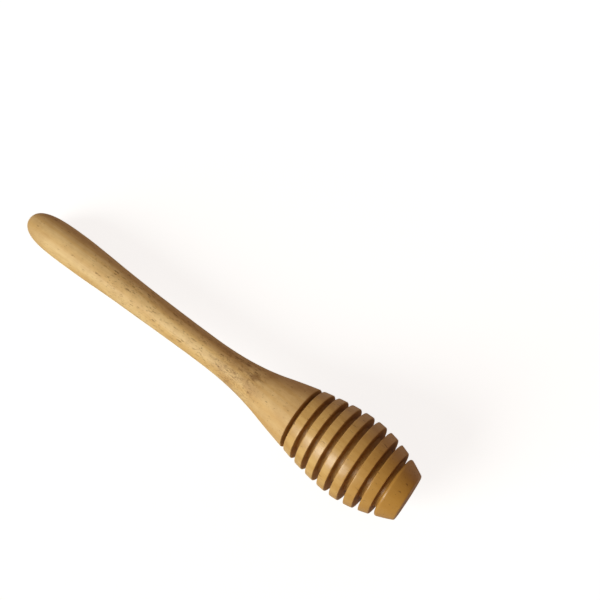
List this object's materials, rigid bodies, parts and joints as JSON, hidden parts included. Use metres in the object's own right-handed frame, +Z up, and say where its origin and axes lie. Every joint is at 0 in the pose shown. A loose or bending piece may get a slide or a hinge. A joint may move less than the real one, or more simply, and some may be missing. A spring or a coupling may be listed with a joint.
{
  "type": "honey dipper",
  "caption": "Turned wooden honey dipper: a slim handle with a rounded butt swells into a barrel head cut with deep grooves that hold honey, ending in a flat nose.",
  "frame": {"origin": "centre of the box round the dipper, on the surface that it lies on", "axes": "+Z up, +X from the butt to the nose; the dipper lies on its belly and its widest ring, so its axis is in the XZ plane and rises 3.29 degrees towards +X"},
  "size_m": [0.1802, 0.03, 0.0301],
  "materials": {
    "handle_wood": "oiled, low sheen, fine dark pores along the grain",
    "head_wood": "oiled, low sheen, darker in the grooves"
  },
  "bodies": {
    "root": {"handle": "handle_wood", "head": "head_wood"}
  },
  "joints": []
}
